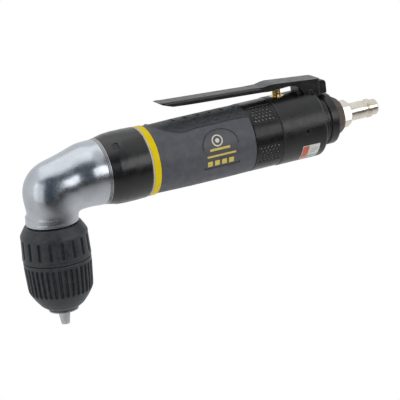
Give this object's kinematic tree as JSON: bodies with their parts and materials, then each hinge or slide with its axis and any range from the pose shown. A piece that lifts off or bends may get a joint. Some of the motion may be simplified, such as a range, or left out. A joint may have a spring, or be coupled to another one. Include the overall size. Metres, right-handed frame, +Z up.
{
  "type": "pneumatic angle drill",
  "caption": "Right-angle compressed-air drill with a keyless chuck, throttle lever and quick-connect air inlet.",
  "frame": {"origin": "centre of the chuck's jaw tips, on the drilling axis", "axes": "+Z up the drilling axis to the head, +X back along the handle to the air inlet, -Y the side with the badge"},
  "size_m": [0.2216, 0.0394, 0.1096],
  "materials": {
    "polished_aluminium": "polished, satin in the hollows",
    "steel": "turned and ground",
    "gear_steel": "machined and lightly oiled",
    "bright_steel": "nickel plated",
    "chuck_plastic": "glass-filled nylon, satin black",
    "black_coupling": "gloss black",
    "case_aluminium": "turned",
    "grip_rubber": "soft dark grey moulding with a textured upper side",
    "yellow_plastic": "gloss yellow",
    "badge_plastic": "dark grey with plain pale and yellow marks",
    "black_plastic": "semi-gloss black",
    "felt": "pressed felt",
    "vane_laminate": "resin-bonded fabric",
    "black_housing": "semi-gloss black",
    "black_steel": "black oxide with a worn top",
    "brass": "turned brass",
    "valve_rubber": "nitrile",
    "dark_bronze": "dark brown oxide",
    "label_film": "printed film, no text"
  },
  "bodies": {
    "drill_body": {"head_housing": "polished_aluminium", "bearing_nut": "steel", "head_joint_ring": "steel", "spindle_lower_bearing": "steel", "spindle_upper_bearing": "steel", "pinion_front_bearing": "steel", "pinion_rear_bearing": "steel", "pinion_bearing_spacer": "steel", "pinion_bearing_nut": "steel", "rotor_front_bearing": "steel", "rotor_rear_bearing": "steel", "lever_pin": "steel", "set_screw": "steel", "valve_spring": "steel", "inlet_screen": "steel", "motor_lock_ring": "steel", "spacer_ring": "steel", "ring_gear": "gear_steel", "cylinder_liner": "gear_steel", "front_end_plate": "gear_steel", "rear_end_plate": "gear_steel", "air_nipple": "bright_steel", "coupling_nut": "black_coupling", "motor_case": "case_aluminium", "grip_sleeve": "grip_rubber", "trim_ring": "yellow_plastic", "badge_plate": "badge_plastic", "exhaust_ring": "black_plastic", "rear_cap": "black_plastic", "silencer_felt": "felt", "valve_housing": "black_housing", "valve_plug": "black_steel", "plunger_bushing": "brass", "valve_seat": "brass", "inlet_bushing": "dark_bronze", "rating_label": "label_film"},
    "spindle": {"output_spindle": "gear_steel", "driven_bevel_gear": "gear_steel", "chuck_body": "gear_steel", "chuck_rear_sleeve": "chuck_plastic", "chuck_screw": "steel", "chuck_nose_ring": "bright_steel", "chuck_thrust_bearing": "steel"},
    "front_sleeve": {"chuck_front_sleeve": "chuck_plastic", "chuck_nut_halves": "gear_steel"},
    "jaw_1": {"chuck_jaw_1": "bright_steel"},
    "jaw_2": {"chuck_jaw_2": "bright_steel"},
    "jaw_3": {"chuck_jaw_3": "bright_steel"},
    "carrier": {"drive_bevel_pinion": "gear_steel", "planet_carrier": "gear_steel", "planet_pins": "steel"},
    "planet_1": {"planet_gear_1": "gear_steel"},
    "planet_2": {"planet_gear_2": "gear_steel"},
    "planet_3": {"planet_gear_3": "gear_steel"},
    "rotor": {"rotor": "gear_steel", "rotor_vanes": "vane_laminate", "sun_gear": "gear_steel"},
    "lever": {"throttle_lever": "black_steel"},
    "plunger": {"valve_plunger": "brass", "throttle_valve": "valve_rubber"}
  },
  "joints": [
    {"name": "spindle_spin", "type": "hinge", "parent": "drill_body", "child": "spindle", "pos_m": [0, 0, 0], "axis": [0, 0, 1], "continuous": true},
    {"name": "carrier_spin", "type": "hinge", "parent": "drill_body", "child": "carrier", "pos_m": [0.03, 0, 0.079], "axis": [1, 0, 0], "continuous": true},
    {"name": "rotor_spin", "type": "hinge", "parent": "drill_body", "child": "rotor", "pos_m": [0.077, 0, 0.079], "axis": [1, 0, 0], "continuous": true},
    {"name": "planet_1_spin", "type": "hinge", "parent": "carrier", "child": "planet_1", "pos_m": [0.0425, -0.00877, 0.079], "axis": [1, 0, 0], "continuous": true},
    {"name": "planet_2_spin", "type": "hinge", "parent": "carrier", "child": "planet_2", "pos_m": [0.0425, 0.00439, 0.0866], "axis": [1, 0, 0], "continuous": true},
    {"name": "planet_3_spin", "type": "hinge", "parent": "carrier", "child": "planet_3", "pos_m": [0.0425, 0.00439, 0.0714], "axis": [1, 0, 0], "continuous": true},
    {"name": "chuck_sleeve_turn", "type": "hinge", "parent": "spindle", "child": "front_sleeve", "pos_m": [0, 0, 0.026], "axis": [0, 0, 1], "range_deg": [0, 2880]},
    {"name": "jaw_1_slide", "type": "slide", "parent": "spindle", "child": "jaw_1", "axis": [0.2419, 0, 0.9703], "range_m": [0, 0.01605]},
    {"name": "jaw_2_slide", "type": "slide", "parent": "spindle", "child": "jaw_2", "axis": [-0.121, 0.2095, 0.9703], "range_m": [0, 0.01605]},
    {"name": "jaw_3_slide", "type": "slide", "parent": "spindle", "child": "jaw_3", "axis": [-0.121, -0.2095, 0.9703], "range_m": [0, 0.01605]},
    {"name": "lever_press", "type": "hinge", "parent": "drill_body", "child": "lever", "pos_m": [0.159, 0, 0.0975], "axis": [0, -1, 0], "range_deg": [0, 4.2], "stiffness_Nm_per_rad": 1.2, "springref_deg": -8.59},
    {"name": "plunger_slide", "type": "slide", "parent": "drill_body", "child": "plunger", "axis": [0, 0, -1], "range_m": [0, 0.0014], "deforming": ["valve_spring"]}
  ],
  "couplings": [
    {"joint": "carrier_spin", "follows": "spindle_spin", "ratio": 1.5},
    {"joint": "rotor_spin", "follows": "spindle_spin", "ratio": 9},
    {"joint": "planet_1_spin", "follows": "spindle_spin", "ratio": -3.75},
    {"joint": "planet_2_spin", "follows": "spindle_spin", "ratio": -3.75},
    {"joint": "planet_3_spin", "follows": "spindle_spin", "ratio": -3.75},
    {"joint": "jaw_1_slide", "follows": "chuck_sleeve_turn", "m_per_rad": 0.00031831},
    {"joint": "jaw_2_slide", "follows": "chuck_sleeve_turn", "m_per_rad": 0.00031831},
    {"joint": "jaw_3_slide", "follows": "chuck_sleeve_turn", "m_per_rad": 0.00031831},
    {"joint": "plunger_slide", "follows": "lever_press", "m_per_rad": 0.018}
  ]
}
